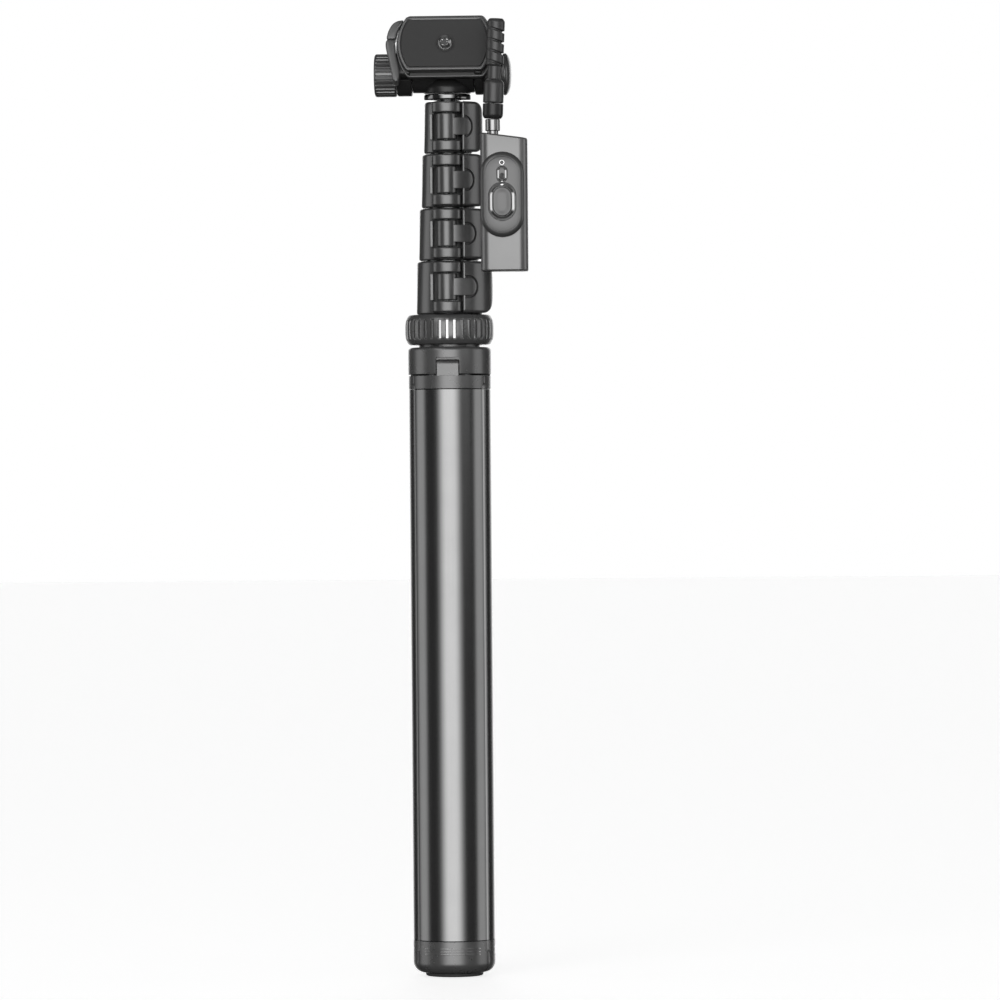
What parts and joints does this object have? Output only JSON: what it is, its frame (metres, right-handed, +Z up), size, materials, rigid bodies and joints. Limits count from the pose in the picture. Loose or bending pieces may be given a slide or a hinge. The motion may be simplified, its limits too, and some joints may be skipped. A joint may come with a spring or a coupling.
{
  "type": "selfie stick tripod",
  "caption": "Folded selfie stick that opens into a tripod, with flip-lock column sections, a tilting camera plate and a detachable remote control.",
  "frame": {"origin": "on the column's axis, on the floor plane the three foot pads stand on", "axes": "+Z up along the column, -Y towards the front, where the camera plate and the remote's buttons face, +X to the right seen from the front"},
  "size_m": [0.0816, 0.0654, 0.4997],
  "materials": {
    "satin_plastic": "satin, dark grey",
    "dark_plastic": "fine matt, near black",
    "anodised_metal": "glossy dark anodised",
    "grey_metal": "satin grey anodised",
    "black_gloss": "polished black",
    "chrome": "bright polished",
    "rubber": "fine matt",
    "remote_grey": "satin mid grey",
    "lens": "frosted clear",
    "board": "printed circuit board",
    "steel": "plain"
  },
  "bodies": {
    "hub": {"leg_hub": "satin_plastic", "leg_1_hinge_pin": "steel", "leg_2_hinge_pin": "steel", "leg_3_hinge_pin": "steel", "column_collet": "dark_plastic"},
    "lock_ring": {"column_lock_ring": "satin_plastic"},
    "column_1": {"tube_1": "grey_metal", "column_end_plug": "dark_plastic", "lock_1_collar": "satin_plastic", "lock_1_pin": "steel"},
    "column_2": {"tube_2": "grey_metal", "lock_2_collar": "satin_plastic", "lock_2_pin": "steel"},
    "column_3": {"tube_3": "grey_metal", "lock_3_collar": "satin_plastic", "lock_3_pin": "steel"},
    "column_4": {"tube_4": "grey_metal", "lock_4_collar": "satin_plastic", "lock_4_pin": "steel"},
    "column_5": {"tube_5": "grey_metal", "pan_disc": "black_gloss"},
    "pan_head": {"pan_base": "dark_plastic"},
    "tilt_head": {"tilt_platform": "satin_plastic", "tilt_bolt": "steel", "tilt_end_cap": "dark_plastic", "handle_bracket": "satin_plastic", "handle_collar": "dark_plastic", "handle_rod": "grey_metal", "handle_grip": "rubber"},
    "tilt_knob": {"tilt_knob": "dark_plastic"},
    "plate_lever": {"plate_lever": "remote_grey"},
    "camera_plate": {"camera_plate": "satin_plastic", "camera_plate_pad": "rubber"},
    "camera_screw": {"camera_screw": "chrome"},
    "remote": {"remote_front_shell": "remote_grey", "remote_back_shell": "remote_grey", "remote_bezel": "remote_grey", "shutter_ring": "chrome", "status_lens": "lens", "remote_circuit_board": "board", "remote_coin_cell": "steel"},
    "shutter_button": {"shutter_button": "remote_grey"},
    "power_switch": {"power_switch": "chrome"},
    "leg_1": {"leg_1_tube": "anodised_metal", "leg_1_cap": "satin_plastic", "leg_1_foot": "satin_plastic", "leg_1_pad": "rubber"},
    "leg_2": {"leg_2_tube": "anodised_metal", "leg_2_cap": "satin_plastic", "leg_2_foot": "satin_plastic", "leg_2_pad": "rubber"},
    "leg_3": {"leg_3_tube": "anodised_metal", "leg_3_cap": "satin_plastic", "leg_3_foot": "satin_plastic", "leg_3_pad": "rubber"},
    "flip_1": {"lock_1_lever": "satin_plastic"},
    "flip_2": {"lock_2_lever": "satin_plastic"},
    "flip_3": {"lock_3_lever": "satin_plastic"},
    "flip_4": {"lock_4_lever": "satin_plastic"}
  },
  "joints": [
    {"name": "leg_1_fold", "type": "hinge", "parent": "hub", "child": "leg_1", "pos_m": [0, -0.0183, 0.3185], "axis": [-1, 0, 0], "range_deg": [0, 60]},
    {"name": "leg_2_fold", "type": "hinge", "parent": "hub", "child": "leg_2", "pos_m": [0.01585, 0.00915, 0.3185], "axis": [0.5, -0.866, 0], "range_deg": [0, 60]},
    {"name": "leg_3_fold", "type": "hinge", "parent": "hub", "child": "leg_3", "pos_m": [-0.01585, 0.00915, 0.3185], "axis": [0.5, 0.866, 0], "range_deg": [0, 60]},
    {"name": "column_lock_turn", "type": "hinge", "parent": "hub", "child": "lock_ring", "pos_m": [0, 0, 0.3292], "axis": [0, 0, 1], "range_deg": [0, 90]},
    {"name": "column_1_slide", "type": "slide", "parent": "hub", "child": "column_1", "axis": [0, 0, 1], "range_m": [0, 0.24]},
    {"name": "column_2_slide", "type": "slide", "parent": "column_1", "child": "column_2", "axis": [0, 0, 1], "range_m": [0, 0.26]},
    {"name": "column_3_slide", "type": "slide", "parent": "column_2", "child": "column_3", "axis": [0, 0, 1], "range_m": [0, 0.28]},
    {"name": "column_4_slide", "type": "slide", "parent": "column_3", "child": "column_4", "axis": [0, 0, 1], "range_m": [0, 0.3]},
    {"name": "column_5_slide", "type": "slide", "parent": "column_4", "child": "column_5", "axis": [0, 0, 1], "range_m": [0, 0.33]},
    {"name": "flip_1_turn", "type": "hinge", "parent": "column_1", "child": "flip_1", "pos_m": [0, -0.0189, 0.3451], "axis": [0, 0, -1], "range_deg": [0, 40]},
    {"name": "flip_2_turn", "type": "hinge", "parent": "column_2", "child": "flip_2", "pos_m": [0, -0.0174, 0.3731], "axis": [0, 0, -1], "range_deg": [0, 40]},
    {"name": "flip_3_turn", "type": "hinge", "parent": "column_3", "child": "flip_3", "pos_m": [0, -0.0158, 0.4006], "axis": [0, 0, -1], "range_deg": [0, 40]},
    {"name": "flip_4_turn", "type": "hinge", "parent": "column_4", "child": "flip_4", "pos_m": [0, -0.0143, 0.429], "axis": [0, 0, -1], "range_deg": [0, 40]},
    {"name": "head_pan", "type": "hinge", "parent": "column_5", "child": "pan_head", "pos_m": [0, 0, 0.4602], "axis": [0, 0, 1], "continuous": true},
    {"name": "head_tilt", "type": "hinge", "parent": "pan_head", "child": "tilt_head", "pos_m": [0, 0, 0.4703], "axis": [1, 0, 0], "range_deg": [-78, 0]},
    {"name": "tilt_knob_turn", "type": "hinge", "parent": "tilt_head", "child": "tilt_knob", "pos_m": [-0.0263, 0, 0.4703], "axis": [-1, 0, 0], "range_deg": [0, 180]},
    {"name": "plate_lever_swing", "type": "hinge", "parent": "tilt_head", "child": "plate_lever", "pos_m": [-0.0255, -0.01241, 0.48429], "axis": [0, 0.9781, -0.2079], "range_deg": [0, 30]},
    {"name": "camera_plate_lift", "type": "slide", "parent": "tilt_head", "child": "camera_plate", "axis": [0, -0.9781, 0.2079], "range_m": [0, 0.006]},
    {"name": "camera_screw_turn", "type": "hinge", "parent": "camera_plate", "child": "camera_screw", "pos_m": [0, -0.01821, 0.48562], "axis": [0, -0.9781, 0.2079], "continuous": true},
    {"name": "remote_drop", "type": "slide", "parent": "tilt_head", "child": "remote", "axis": [0, 0, -1], "range_m": [0, 0.012]},
    {"name": "shutter_press", "type": "slide", "parent": "remote", "child": "shutter_button", "axis": [0, 1, 0], "range_m": [0, 0.0008], "stiffness_N_per_m": 1500},
    {"name": "power_switch_slide", "type": "slide", "parent": "remote", "child": "power_switch", "axis": [0, 0, 1], "range_m": [0, 0.002]}
  ]
}
